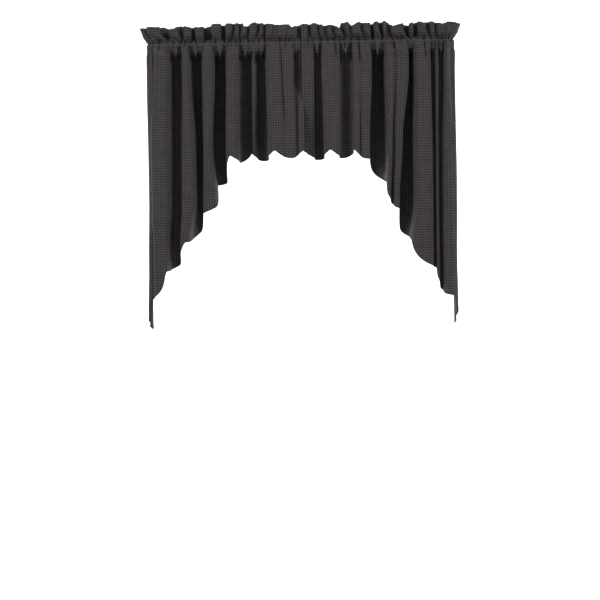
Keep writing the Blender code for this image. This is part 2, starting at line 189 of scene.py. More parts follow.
# Where the cloth lies on the rod, its folds stand out less: the fold fronts from which they start
# to stand out and at which they stand out fully, and how far that is
RELIEF_FROM = 7.0
RELIEF_FULL = 19.0
RELIEF_DEPTH = 13.0

# The folds have their full form from this height down, and the rod keeps the cloth forward
# between these two
FOLDS_FROM = -26.0
ROD_HOLD_FROM = -22.0
ROD_HOLD_FULL = -10.0

# Above each wide hollow the gathered cloth stands forward as a tuft that ends in a point: how far
# it stands out, the height of its point, its widest share of the hollow, how fast it narrows, where
# its sides fall, the half widths of the hollows that start to have one and that have a full one,
# and how far below the stitching the cloth starts to stand out
TUFT_FRONT = 13.5
TUFT_POINT = -31.0
TUFT_WIDTH = 0.5
TUFT_CURVE = 1.5
TUFT_SIDES = (0.8, 1.2)
TUFT_NARROWEST = 0.01
TUFT_HALF_FROM = 5.0
TUFT_HALF_FULL = 9.0
FREE_BELOW_SEAM = 8.0

# Creases that start in the stitching: run in the stitching, run at the lower end, height of the
# lower end, depth, half width
Tuck = namedtuple("Tuck", "run end bottom depth width")
LEFT_TUCKS = (
    Tuck(19, 20, -60, 3.0, 4.0), Tuck(32, 23, -16, 4.5, 2.8), Tuck(44, 44, -20, 3.0, 2.5),
    Tuck(62, 53, -260, 7.0, 3.2), Tuck(107, 111, -33, 9.0, 3.4), Tuck(126, 119, -33, 9.0, 3.4),
    Tuck(143, 139, -19, 6.0, 3.0), Tuck(156, 160, -34, 9.0, 3.4), Tuck(182, 174, -34, 9.0, 3.4),
    Tuck(195, 193, -8, 5.0, 3.0), Tuck(208, 207, -6, 5.0, 3.0), Tuck(216, 221, -12, 5.0, 3.0),
    Tuck(229, 235, -25, 9.0, 3.4), Tuck(257, 250, -25, 9.0, 3.4), Tuck(271, 259, -18, 6.0, 3.0),
    Tuck(290, 302, -27, 9.0, 3.4), Tuck(314, 308, -27, 9.0, 3.4), Tuck(332, 337, -50, 7.0, 3.2),
    Tuck(346, 351, -4, 6.0, 3.0), Tuck(361, 365, -24, 9.0, 3.4), Tuck(383, 378, -24, 9.0, 3.4),
    Tuck(401, 403, 2, 4.5, 2.8), Tuck(426, 425, -17, 6.0, 3.0), Tuck(442, 444, -84, 7.0, 3.6),
    Tuck(456, 453, -70, 7.0, 5.0),
)
RIGHT_TUCKS = (
    Tuck(22, 23, -2, 4.5, 2.8), Tuck(38, 48, -25, 9.0, 3.4), Tuck(62, 54, -25, 9.0, 3.4),
    Tuck(82, 80, 0, 4.5, 2.8), Tuck(102, 108, -45, 7.0, 3.2), Tuck(119, 122, -10, 5.0, 3.0),
    Tuck(131, 134, -22, 9.0, 3.4), Tuck(152, 149, -20, 8.0, 3.4), Tuck(174, 179, -64, 7.0, 3.2),
    Tuck(196, 194, 2, 4.5, 2.8), Tuck(219, 229, -25, 9.0, 3.4), Tuck(246, 238, -25, 9.0, 3.4),
    Tuck(263, 266, -4, 5.0, 3.0), Tuck(279, 281, -18, 7.0, 3.2), Tuck(305, 304, 0, 4.5, 2.8),
    Tuck(333, 334, -40, 9.0, 3.4), Tuck(352, 351, 0, 4.5, 2.8), Tuck(372, 376, -67, 6.5, 3.2),
    Tuck(395, 397, -40, 8.0, 3.4), Tuck(413, 412, -20, 7.0, 3.2), Tuck(427, 424, -24, 8.0, 3.4),
    Tuck(446, 447, -6, 5.0, 3.0),
)
TUCK_REACH_UP = 9.0
TUCK_FADE_FROM = 0.6

# Small pleats where the stitching draws the cloth up: pitch along the run, greatest depth, how far
# above and below the stitching they fade out, the two slow waves that make the pitch uneven (how
# much, and over what run), and the share of the depth that comes and goes, with its run
PLEAT_PITCH = 10.0
PLEAT_DEEPEST = 2.0
PLEAT_REACH_UP = 9.0
PLEAT_REACH_DOWN = 17.0
PLEAT_SWAY = (1.9, 31.0)
PLEAT_SWAY_SHORT = (1.3, 17.3)
PLEAT_CHANGE = (0.4, 23.0)

# The left return swings outwards at its lower end: how far on each side, the run at which it
# does so fully, and the depths below the rod between which it starts and ends
RETURN_FLARE = {-1: 13.5, 1: 0.0}
RETURN_FLARE_FULL = CORNER_RUN + 55.0
RETURN_FLARE_DOWN = (460.0, 790.0)

# Below the pocket each inner edge passes a little behind or in front of the other
EDGE_LAP = 1.6
EDGE_LAP_LEAST = 0.28
EDGE_LAP_WIDTH = 12.0
EDGE_CROSSING = -167.0
EDGE_CROSSING_REACH = 22.0

# Soft waves in the hanging cloth: length across the cloth, length down it, depth, start
Wave = namedtuple("Wave", "across down depth start")
WAVES = (Wave(61.0, 900.0, 0.9, 0.4), Wave(37.0, 640.0, 0.6, 2.1), Wave(23.0, 410.0, 0.35, 4.4))
WAVE_DRIFT = 1.5
WAVE_DRIFT_START = 3
WAVES_FULL_DOWN = 90.0

# Rows of the mesh down the cloth, from the turned edge behind the pocket to the hem
BACK_POCKET_ROWS = 8
BACK_RUFFLE_ROWS = 7
FRONT_RUFFLE_ROWS = 12
FRONT_POCKET_ROWS = 22
HANGING_ROWS = 47
HANGING_CLOSENESS = 1.25
GAP_CLOSED = 0.2
ABOVE_HEM = (HEM_DEPTH + 1.0, HEM_DEPTH, HEM_DEPTH * 0.5, 0.6, 0.0)


def place(run, out, side):
    """Turn distances along and in front of the rod line into X and Y, for the side -1 or +1."""
    turn = np.clip((run - CORNER_RUN) / ROD_CORNER_RADIUS, 0.0, math.pi / 2)
    back = np.maximum(run - CORNER_RUN - ROD_CORNER_RADIUS * math.pi / 2, 0.0)
    across = np.minimum(run, CORNER_RUN)
    x = across + (ROD_CORNER_RADIUS + out) * np.sin(turn)
    y = ROD_CORNER_RADIUS - (ROD_CORNER_RADIUS + out) * np.cos(turn) + back
    return x * side, y


def bend(start, start_pull, end_pull, end):
    """One value along a smooth bend between two ends, each with its own pull."""
    t = BEND_STEPS
    return ((1 - t) ** 3 * start + 3 * (1 - t) ** 2 * t * start_pull
            + 3 * (1 - t) * t ** 2 * end_pull + t ** 3 * end)


def fold_side(crest_run, crest_out, edge_run, hollow_run, hollow_out, lip):
    """One side of a fold, from the middle of its crest to the middle of the hollow beside it."""
    reach = hollow_run - crest_run
    # Leaning both pulls by this much moves the middle of the bend to the crest's edge
    lean = ((edge_run - crest_run) / reach - 0.5) * 4 / 3
    run = bend(crest_run, crest_run + (lip + lean) * reach,
               hollow_run - (lip - lean) * reach, hollow_run)
    out = bend(crest_out, crest_out, hollow_out, hollow_out)
    return run, out


def hollow_between(inner, outer, hollow_out):
    """The cloth from the middle of one crest, through the hollow, to the middle of the next."""
    inner_run = (inner["edges"][0] + inner["edges"][1]) / 2
    outer_run = (outer["edges"][0] + outer["edges"][1]) / 2
    hollow_run = (inner["edges"][1] + outer["edges"][0]) / 2
    down = fold_side(inner_run, inner["front"], inner["edges"][1],
                     hollow_run, hollow_out, inner["lip"][1])
    up = fold_side(outer_run, outer["front"], outer["edges"][0],
                   hollow_run, hollow_out, outer["lip"][0])
    return np.concatenate((down[0], up[0][-2::-1])), np.concatenate((down[1], up[1][-2::-1]))


def lengths(run, out, side):
    """Distance of each point of a line from its start."""
    x, y = place(run, out, side)
    return np.concatenate(([0.0], np.cumsum(np.hypot(np.diff(x), np.diff(y)))))


def smooth_step(value, low, high):
    """0 at low, 1 at high, and a smooth ramp between."""
    t = np.clip((value - low) / (high - low), 0.0, 1.0)
    return t * t * (3 - 2 * t)


def least_depth(width, run):
    """How deep a wide hollow in the hanging cloth is at least."""
    wide = smooth_step(width, HOLLOW_NARROW, HOLLOW_WIDE) * (run < CORNER_RUN)
    return min(width, HOLLOW_DEPTH) * wide


def cloth_line(crests, side):
    """The hanging cloth seen from above; each hollow is as deep as the cloth in it needs."""
    cloth_at, runs, outs = [], [], []
    for inner, outer in zip(crests, crests[1:]):
        cloth = outer["cloth"] - inner["cloth"]
        highest = min(inner["front"], outer["front"])
        hollow_out = highest - FIRST_DEPTH
        for _ in range(DEPTH_ROUNDS):
            run, out = hollow_between(inner, outer, hollow_out)
            spare = cloth - lengths(run, out, side)[-1]
            hollow_out = min(hollow_out - DEPTH_SHARE * spare, highest)
        deep = highest - least_depth(outer["edges"][0] - inner["edges"][1], outer["edges"][0])
        run, out = hollow_between(inner, outer, min(hollow_out, deep))
        # Where a hollow is deeper than its cloth allows, the walls give and the crests don't
        steps = np.diff(lengths(run, out, side))
        level = np.minimum(np.abs(np.diff(run)), steps)
        give = (cloth - level.sum()) / max((steps - level).sum(), LEAST_GIVE)
        along = np.concatenate(([0.0], np.cumsum(level + give * (steps - level))))
        cloth_at.append(inner["cloth"] + along)
        runs.append(run)
        outs.append(out)
    cloth_at = np.concatenate(cloth_at)
    return (np.interp(LINE_STEPS, cloth_at, np.concatenate(runs)),
            np.interp(LINE_STEPS, cloth_at, np.concatenate(outs)))


def eased(height, values):
    """A fold table's value at a height, easing from one of its four heights to the next."""
    top, mid, low, tail = values
    down = top + (mid - top) * smooth_step(-height, -TOP, -MID)
    down += (low - mid) * smooth_step(-height, -MID, -LOW)
    return down + (tail - low) * smooth_step(-height, -LOW, -TAIL)


def crests_at(folds, height):
    """The crests of a fold table at one height."""
    crests = []
    for fold in folds:
        places = (fold.top, fold.mid, fold.low, fold.tail)
        edges = tuple(eased(height, [place[end] for place in places]) for end in (0, 1))
        crests.append({"cloth": fold.cloth, "edges": edges, "lip": fold.lip,
                       "front": eased(height, fold.front)})
    return crests


def ruffle_crests(folds, gathers, inner_front):
    """The crests of the ruffle's top edge; each leans from where its cloth is at the stitching."""
    fold_runs = [sum(fold.top) / 2 for fold in folds]
    fold_cloth = [fold.cloth for fold in folds]

    def middles(runs):
        return [fold_runs[0]] + [(a + b) / 2 for a, b in zip(runs, runs[1:])] + [fold_runs[-1]]

    crests = []
    for low, high in zip(middles([gather.low for gather in gathers]),
                         middles([gather.high for gather in gathers])):
        even = PANEL_WIDTH * (low - fold_runs[0]) / (fold_runs[-1] - fold_runs[0])
        hanging = np.interp(low, fold_runs, fold_cloth)
        crests.append({"cloth": hanging + (even - hanging) * RUFFLE_EVENNESS, "edges": [high, high],
                       "lip": (1.0, 1.0), "front": RUFFLE_FRONT})
    for inner, outer, gather in zip(crests, crests[1:], gathers):
        inner["edges"][1] = gather.high - gather.width / 2
        outer["edges"][0] = gather.high + gather.width / 2
    ends = ((crests[0], 0, fold_runs[0], inner_front), (crests[-1], 1, fold_runs[-1], 0.0))
    for crest, end, run, front in ends:
        crest["edges"][end] = 2 * run - crest["edges"][1 - end]
        crest["front"] = front
    return crests


def point_height(number, scallops):
    """Height of the point between two scallops of the hem."""
    level = RUFFLE_TOP - SHORT_DROP + SCALLOP_BULGE
    slant_start = level - SLANT_START_DROP
    slant_step = (RUFFLE_TOP - LONG_DROP - slant_start) / (scallops - LEVEL_SCALLOPS)
    if number < LEVEL_SCALLOPS:
        return level
    return slant_start + slant_step * (number - LEVEL_SCALLOPS)


def hem_heights(points, columns):
    """Heights of the scalloped edge. Each scallop bulges square to its own chord."""
    heights = np.empty(len(LINE_STEPS))
    for number, (start, end) in enumerate(zip(points, points[1:])):
        high = point_height(number, len(points) - 1)
        rise = point_height(number + 1, len(points) - 1) - high
        chord = math.hypot(end - start, rise)
        sideways = 4 * SCALLOP_BULGE * rise / chord
        down = 4 * SCALLOP_BULGE * (end - start) / chord
        across = (end - start + sideways) * SCALLOP_STEPS - sideways * SCALLOP_STEPS ** 2
        inside = (LINE_STEPS >= start) & (LINE_STEPS <= end)
        share = np.interp(LINE_STEPS[inside] - start, across, SCALLOP_STEPS)
        heights[inside] = high + rise * share - down * share * (1 - share)
    # The points between the scallops are rounded, as a turned edge can't be sharp
    spread = np.arange(-POINT_STEPS, POINT_STEPS + 1) * (LINE_STEPS[1] - LINE_STEPS[0])
    weights = np.exp(-(spread / POINT_ROUNDING) ** 2 / 2)
    padded = np.pad(heights, POINT_STEPS, mode="edge")
    heights = np.convolve(padded, weights / weights.sum(), mode="valid")
    return np.interp(columns, LINE_STEPS, heights)


def hang_panel(name, side, folds, gathers, inner_front, ruffle_top, tucks, points):
    """Make one panel as a fine sheet, from the edge behind the pocket, over the ruffle, to the hem.

    Returns the panel, the heights of its hem at the mesh's columns across the cloth, and the lines
    along which it is sewn."""
    lines = [cloth_line(crests_at(folds, height), side) for height in LINE_HEIGHTS]
    facing = np.abs(np.gradient(lines[-1][0], LINE_STEPS))
    closeness = np.cumsum(COLUMN_EVENNESS + facing)
    closeness = (closeness - closeness[0]) / (closeness[-1] - closeness[0])
    columns = np.interp(np.linspace(0.0, 1.0, COLUMNS), closeness, LINE_STEPS)

    def at_columns(line):
        return np.interp(columns, LINE_STEPS, line)

    ruffle = cloth_line(ruffle_crests(folds, gathers, inner_front), side)
    high_run = at_columns(ruffle[0])
    high_out = at_columns(np.maximum(ruffle[1], RUFFLE_DEEPEST))
    line_runs = np.array([at_columns(line[0]) for line in lines])
    line_outs = np.array([at_columns(line[1]) for line in lines])
    numbers = np.arange(len(columns))
    even_run = line_runs[-1][0] + (WALL_RUN - line_runs[-1][0]) * columns / PANEL_WIDTH
    seam_run = np.maximum.accumulate(line_runs[-1])
    seam_run = seam_run + (even_run - seam_run) * SEAM_EVENNESS
    seam_out = inner_front / 2 * (1 - smooth_step(columns, 0.0, 2 * EDGE_LAP_WIDTH))

    def fold_point(heights):
        """Run and out of the folds below the pocket, each column at its own height."""
        above = np.clip(np.searchsorted(LINE_HEIGHTS, heights), 1, len(LINE_HEIGHTS) - 1)
        low, high = LINE_HEIGHTS[above - 1], LINE_HEIGHTS[above]
        share = np.clip((heights - low) / (high - low), 0.0, 1.0)
        run = line_runs[above - 1, numbers] * (1 - share) + line_runs[above, numbers] * share
        out = line_outs[above - 1, numbers] * (1 - share) + line_outs[above, numbers] * share
        return run, out

    def tucked(run, heights):
        """Depth of the creases that start in the stitching."""
        depth = np.zeros(len(columns))
        for tuck in tucks:
            down = (UPPER_SEAM - heights) / (UPPER_SEAM - tuck.bottom)
            middle = tuck.run + (tuck.end - tuck.run) * np.clip(down, 0.0, 1.0)
            fade = 1 - smooth_step(down, TUCK_FADE_FROM, 1.0)
            fade *= np.exp(-(np.maximum(heights - UPPER_SEAM, 0.0) / TUCK_REACH_UP) ** 2)
            trough = np.exp(-((run - middle) / tuck.width) ** 2)
            depth = np.maximum(depth, tuck.depth * fade * trough)
        return depth

    def pleats(heights):
        """Depth of the small gathers beside the upper stitching."""
        reach = np.where(heights > UPPER_SEAM, PLEAT_REACH_UP, PLEAT_REACH_DOWN)
        fade = np.exp(-((heights - UPPER_SEAM) / reach) ** 2)
        turn = 2 * math.pi * seam_run / PLEAT_PITCH
        turn = turn + (PLEAT_SWAY[0] * np.sin(seam_run / PLEAT_SWAY[1] + side)
                       + PLEAT_SWAY_SHORT[0] * np.sin(seam_run / PLEAT_SWAY_SHORT[1]))
        change = PLEAT_CHANGE[0] * (np.sin(seam_run / PLEAT_CHANGE[1] + side) - 1)
        return PLEAT_DEEPEST * fade * np.sin(turn) * (1 + change)

    def waves(heights):
        """Depth of the soft waves in the hanging cloth."""
        depth = np.zeros(len(columns))
        for wave in WAVES:
            drift = WAVE_DRIFT * np.sin(2 * math.pi * heights / wave.down
                                        + wave.start * WAVE_DRIFT_START)
            depth += wave.depth * np.sin(2 * math.pi * columns / wave.across + wave.start + drift)
        return depth * smooth_step(-heights, 0.0, WAVES_FULL_DOWN)

    def lapped(run, heights):
        """Draw the inner edge a little way over or under the other panel's edge."""
        apart = 1 - np.exp(-((heights - EDGE_CROSSING) / EDGE_CROSSING_REACH) ** 2)
        lap = EDGE_LAP_LEAST + (EDGE_LAP - EDGE_LAP_LEAST) * apart
        return run - lap * (1 - smooth_step(columns, 0.0, EDGE_LAP_WIDTH))

    def panel_point(heights):
        """Run and out of the hanging cloth."""
        fold_run, fold_out = fold_point(heights)
        run = seam_run + (fold_run - seam_run) * smooth_step(-heights, -ROD_BOTTOM, -FOLDS_FROM)
        out = seam_out + (fold_out - seam_out) * smooth_step(-heights, -UPPER_SEAM, -FOLDS_FROM)
        flare = RETURN_FLARE[side] * smooth_step(run, CORNER_RUN, RETURN_FLARE_FULL)
        flare *= smooth_step(-heights, *RETURN_FLARE_DOWN)
        out = out + pleats(heights) + waves(heights) + flare - tucked(run, heights)
        return lapped(run, heights), out

    # Each column's nearest hollow, and how far across it the column is
    relief = RELIEF_DEPTH * smooth_step(line_outs[-1], RELIEF_FROM, RELIEF_FULL)
    hollows = [(inner.top[1], outer.top[0]) for inner, outer in zip(folds, folds[1:])]
    middles = np.array([(start + end) / 2 for start, end in hollows])
    halves = np.array([max(end - start, NARROWEST_HOLLOW) / 2 for start, end in hollows])
    beside = np.abs(line_runs[-1][:, None] - middles) / halves
    nearest = beside.argmin(axis=1)
    across_hollow = beside.min(axis=1)
    tuft_share = smooth_step(halves[nearest], TUFT_HALF_FROM, TUFT_HALF_FULL)
    tuft_share *= seam_run < CORNER_RUN

    def tuft(heights):
        """1 where the gathered cloth stands forward above a hollow, 0 elsewhere."""
        down = np.clip((UPPER_SEAM - heights) / (UPPER_SEAM - TUFT_POINT), 0.0, 1.0)
        width = TUFT_WIDTH * (1 - down ** TUFT_CURVE) + TUFT_NARROWEST
        share = tuft_share * (1 - smooth_step(across_hollow / width, *TUFT_SIDES))
        return share * smooth_step(-heights, -UPPER_SEAM, -ROD_TOP)

    def pocket_point(heights, layer):
        """The pocket's front layer (+1) or back layer (-1), which bulges round the rod."""
        run, out = panel_point(heights)
        held = smooth_step(heights, ROD_HOLD_FROM, ROD_HOLD_FULL)
        held *= smooth_step(-heights, -UPPER_SEAM, -ROD_TOP)
        out = out + layer * LAYER_GAP
        if layer < 0:
            run = run + EDGE_LAP * (1 - smooth_step(columns, 0.0, EDGE_LAP_WIDTH))
            return run, out + (-ROD_HALF_DEPTH - out) * held
        creases = (pleats(heights) - tucked(run, heights)) * held
        free = smooth_step(-heights, -UPPER_SEAM, FREE_BELOW_SEAM - UPPER_SEAM)
        out = out + (ROD_HALF_DEPTH + relief * free - out) * held
        tuft_front = ROD_HALF_DEPTH + (TUFT_FRONT - ROD_HALF_DEPTH) * free
        out = out + np.maximum(tuft_front - out, 0.0) * tuft(heights)
        # The creases don't reach into the rod
        nearest_rod = ROD_HALF_DEPTH * held + np.minimum(out, 0.0) * (1 - held)
        return run, np.maximum(out + creases, nearest_rod)

    def ruffle_point(rise):
        """Run, out and heights of the ruffle, from the stitching at 0 to its top edge at 1."""
        run = seam_run + (high_run - seam_run) * smooth_step(rise, 0.0, RUFFLE_FANNED)
        heights = UPPER_SEAM + (np.interp(run, *ruffle_top) - UPPER_SEAM) * rise
        out = seam_out + (high_out - seam_out) * smooth_step(rise, 0.0, RUFFLE_STANDING)
        out = out + pleats(heights) - tucked(run, heights)
        tip = RUFFLE_TIP_FLARE * np.exp(-((run - RUFFLE_TIP_RUN) / RUFFLE_TIP_WIDTH) ** 2)
        return lapped(run, heights), out + (RUFFLE_FLARE + tip * rise) * rise, heights

    # Each row holds run, out, heights, the offset of the layer, and the place down the flat cloth
    hem = hem_heights(points, columns)
    flat = np.ones(len(columns))
    # Cloth that is used up when it comes back down past the middle of the rod
    turned = 2 * RUFFLE_TOP - LOWER_SEAM
    rows = []
    for height in np.linspace(LOWER_SEAM, UPPER_SEAM, BACK_POCKET_ROWS)[:-1]:
        run, out = pocket_point(flat * height, -1)
        rows.append((run, out, flat * height, 0.0, flat * (LOWER_SEAM - height)))
    for rise in np.linspace(0.0, 1.0, BACK_RUFFLE_ROWS):
        run, out, heights = ruffle_point(rise)
        rows.append((run, out, heights, -LAYER_GAP, LOWER_SEAM - heights))
    for rise in np.linspace(1.0, 0.0, FRONT_RUFFLE_ROWS):
        run, out, heights = ruffle_point(rise)
        rows.append((run, out, heights, LAYER_GAP, heights - turned))
    for height in np.linspace(UPPER_SEAM, LOWER_SEAM, FRONT_POCKET_ROWS)[1:]:
        run, out = pocket_point(flat * height, 1)
        rows.append((run, out, flat * height, 0.0, flat * (height - turned)))
    for share in np.linspace(0.0, 1.0, HANGING_ROWS)[1:] ** HANGING_CLOSENESS:
        heights = LOWER_SEAM + (hem + ABOVE_HEM[0] - LOWER_SEAM) * share
        run, out = panel_point(heights)
        gap = LAYER_GAP * (1 - smooth_step(share, 0.0, GAP_CLOSED))
        rows.append((run, out, heights, gap, heights - turned))
    for above in ABOVE_HEM[1:]:
        heights = hem + above
        run, out = panel_point(heights)
        rows.append((run, out, heights, 0.0, heights - turned))

    def surface(run, out, heights, offset):
        """Points at an offset in front of the cloth's middle, and the way the cloth faces there."""
        x, y = place(run, out, side)
        along_x, along_y = np.gradient(x), np.gradient(y)
        along_y[0] = 0.0
        size = np.hypot(along_x, along_y)
        facing = np.stack((side * along_y / size, -side * along_x / size, 0.0 * x), axis=1)
        return np.stack((x, y, heights), axis=1) + facing * np.reshape(offset, (-1, 1)), facing

    corners, flat_places = [], []
    for run, out, heights, offset, down in rows:
        corners.append(surface(run, out, heights, offset)[0])
        flat_places.append(np.stack((columns, down), axis=1))
    faces = []
    for row in range(len(rows) - 1):
        start = row * COLUMNS + np.arange(COLUMNS - 1)
        quad = np.stack((start, start + COLUMNS, start + COLUMNS + 1, start + 1), axis=1)
        faces.append(quad if side > 0 else quad[:, ::-1])
    corners = np.concatenate(corners) * MM
    flat_places = np.concatenate(flat_places) * MM

    mesh = bpy.data.meshes.new(name)
    mesh.from_pydata(corners.tolist(), [], np.concatenate(faces).tolist())
    uv = mesh.uv_layers.new(name="flat_cloth")
    loop_points = np.empty(len(mesh.loops), dtype=np.int32)
    mesh.loops.foreach_get("vertex_index", loop_points)
    uv.data.foreach_set("uv", flat_places[loop_points].ravel())
    mesh.shade_smooth()
    panel = bpy.data.objects.new(name, mesh)
    bpy.context.scene.collection.objects.link(panel)

    thick = panel.vertex_groups.new(name="turned hem")
    hem_rows = range((len(rows) - len(ABOVE_HEM[1:])) * COLUMNS, len(rows) * COLUMNS)
    thick.add(list(hem_rows), 1.0, "REPLACE")
    bpy.context.view_layer.objects.active = panel
    panel.select_set(True)
    solid = panel.modifiers.new("cloth thickness", "SOLIDIFY")
    solid.thickness = HEM_THICKNESS * MM
    solid.offset = 0.0
    solid.vertex_group = "turned hem"
    solid.thickness_vertex_group = CLOTH_THICKNESS / HEM_THICKNESS
    bpy.ops.object.modifier_apply(modifier=solid.name)
    panel.select_set(False)

    # Where thread shows: on the front and the back of the two rows of stitching and of the hem.
    # Each seam holds its points, the way the cloth faces there, and the cloth from point to point
    lower_row = flat * LOWER_SEAM
    hem_row = hem + HEM_DEPTH - HEM_STITCH_EDGE
    two_layers = LAYER_GAP + CLOTH_THICKNESS / 2
    seams = []
    for (run, out, heights), offset in ((ruffle_point(0.0), two_layers),
                                        ((*panel_point(lower_row), lower_row), two_layers),
                                        ((*panel_point(hem_row), hem_row), HEM_THICKNESS / 2)):
        steps = np.hypot(np.gradient(columns), np.gradient(heights))
        for way in (1, -1):
            line, facing = surface(run, out, heights, way * offset)
            seams.append((line, way * facing, steps))
    return panel, hem, columns, seams


def srgb(code):
    """A linear colour from an sRGB hex value."""
    parts = [int(code[start:start + 2], 16) / 255 for start in (1, 3, 5)]
    return [part / 12.92 if part <= 0.04045 else ((part + 0.055) / 1.055) ** 2.4
            for part in parts] + [1.0]


def add_node(tree, kind, settings=None, inputs=None):
    """Add a node, set its settings, and give its inputs values or link them to other outputs."""
    node = tree.nodes.new(kind)
    for key, value in (settings or {}).items():
        setattr(node, key, value)
    for key, value in (inputs or {}).items():
        if isinstance(value, bpy.types.NodeSocket):
            tree.links.new(value, node.inputs[key])
        else:
            node.inputs[key].default_value = value
    return node


# Yarn-dyed cotton, plain weave: fine charcoal threads in a small two-way check, with no shine
CHECK_ACROSS = 7.5
CHECK_DOWN = 7.8
STRIPE_EDGES = (-0.55, 0.35)
LIGHT_YARN = "#4c484c"
MIXED_YARN = "#3e3a3e"
DARK_YARN = "#2e2b2e"
# The real threads are about 0.4 mm apart; they are drawn at 1.5 mm, as coarse as they need to show
THREAD_PITCH = 1.5
# Thick places in the yarn, and patches that took less dye, in turns a metre
SLUB_SCALE = 700.0
FADED_SCALE = 38.0


def check_cotton():
    material = bpy.data.materials.new("charcoal check cotton")
    material.use_nodes = True
    tree = material.node_tree
    shader = tree.nodes["Principled BSDF"]
    uv = add_node(tree, "ShaderNodeUVMap", {"uv_map": "flat_cloth"})
    split = add_node(tree, "ShaderNodeSeparateXYZ", inputs={"Vector": uv.outputs["UV"]})

    def stripes(axis, pitch):
        """1 in the light stripes along one way of the cloth, 0 in the dark ones."""
        turns = add_node(tree, "ShaderNodeMath", {"operation": "MULTIPLY"},
                         {0: split.outputs[axis], 1: 2 * math.pi / (pitch * MM)})
        wave = add_node(tree, "ShaderNodeMath", {"operation": "SINE"}, {0: turns.outputs[0]})
        return add_node(tree, "ShaderNodeMapRange", {"interpolation_type": "SMOOTHSTEP"},
                        {"Value": wave.outputs[0], "From Min": STRIPE_EDGES[0],
                         "From Max": STRIPE_EDGES[1]})

    across = stripes("X", CHECK_ACROSS)
    down = stripes("Y", CHECK_DOWN)
    both = add_node(tree, "ShaderNodeMath", {"operation": "ADD"},
                    {0: across.outputs[0], 1: down.outputs[0]})
    half = add_node(tree, "ShaderNodeMath", {"operation": "MULTIPLY"}, {0: both.outputs[0], 1: 0.5})
    ramp = add_node(tree, "ShaderNodeValToRGB", inputs={"Fac": half.outputs[0]})
    ramp.color_ramp.elements[0].color = srgb(DARK_YARN)
    ramp.color_ramp.elements[1].color = srgb(LIGHT_YARN)
    ramp.color_ramp.elements.new(0.5).color = srgb(MIXED_YARN)

    # Yarn is never dyed quite evenly
    uneven = add_node(tree, "ShaderNodeTexNoise", {"noise_dimensions": "2D"},
                      {"Vector": uv.outputs["UV"], "Scale": FADED_SCALE, "Detail": 3.0})
    faded = add_node(tree, "ShaderNodeMapRange",
                     inputs={"Value": uneven.outputs[0], "From Min": 0.3, "From Max": 0.7,
                             "To Min": 0.92, "To Max": 1.08})
    colour = add_node(tree, "ShaderNodeVectorMath", {"operation": "SCALE"},
                      {0: ramp.outputs["Color"], "Scale": faded.outputs[0]})

    threads = add_node(tree, "ShaderNodeVectorMath", {"operation": "SCALE"},
                       {0: uv.outputs["UV"], "Scale": 1 / (THREAD_PITCH * MM)})
    grain = add_node(tree, "ShaderNodeTexChecker",
                     inputs={"Vector": threads.outputs[0], "Scale": 1.0})
    slub = add_node(tree, "ShaderNodeTexNoise", {"noise_dimensions": "2D"},
                    {"Vector": uv.outputs["UV"], "Scale": SLUB_SCALE, "Detail": 2.0})
    weave = add_node(tree, "ShaderNodeMath", {"operation": "ADD"},
                     {0: grain.outputs["Fac"], 1: slub.outputs[0]})
    bump = add_node(tree, "ShaderNodeBump", inputs={"Height": weave.outputs[0], "Strength": 0.25,
                                                    "Distance": 0.25 * MM})
    tree.links.new(colour.outputs[0], shader.inputs["Base Color"])
    tree.links.new(bump.outputs["Normal"], shader.inputs["Normal"])
    shader.inputs["Roughness"].default_value = 0.92
    shader.inputs["IOR"].default_value = 1.5
    shader.inputs["Specular IOR Level"].default_value = 0.25
    shader.inputs["Sheen Weight"].default_value = 0.03
    shader.inputs["Sheen Roughness"].default_value = 0.5
    return material


cotton = check_cotton()
LEFT_TABLES = (LEFT_FOLDS, LEFT_GATHERS, LEFT_INNER_FRONT, LEFT_TOP, LEFT_TUCKS, LEFT_POINTS)
RIGHT_TABLES = (RIGHT_FOLDS, RIGHT_GATHERS, RIGHT_INNER_FRONT, RIGHT_TOP, RIGHT_TUCKS, RIGHT_POINTS)
hung = []
for word, side, tables in (("left", -1, LEFT_TABLES), ("right", 1, RIGHT_TABLES)):
    panel, hem, columns, seams = hang_panel(word + "_gathered_panel", side, *tables)
    panel.data.materials.append(cotton)
    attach(panel, "root")
    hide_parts(word + "_heading", word + "_panel")
    flat_area = np.trapz(2 * RUFFLE_TOP - LOWER_SEAM - hem, columns)
    hung.append((word, panel, seams, flat_area))


# The stitching
#
# One row of machine stitching holds the ruffle, a second closes the rod pocket and a third the hem.
# Each stitch is a short loop of cotton thread that lies on the cloth and goes in at both ends.

STITCH_PITCH = 3.0
STITCH_LENGTH = 2.2
THREAD_RADIUS = 0.24
THREAD_SIDES = 6
# One stitch's rings: place along it, height of its middle and width, in thread radii
STITCH_PLACES = np.array([0.0, 0.2, 0.8, 1.0])
STITCH_LIFTS = np.array([-1.0, 0.6, 0.6, -1.0])
STITCH_WIDTHS = np.array([0.5, 1.0, 1.0, 0.5])


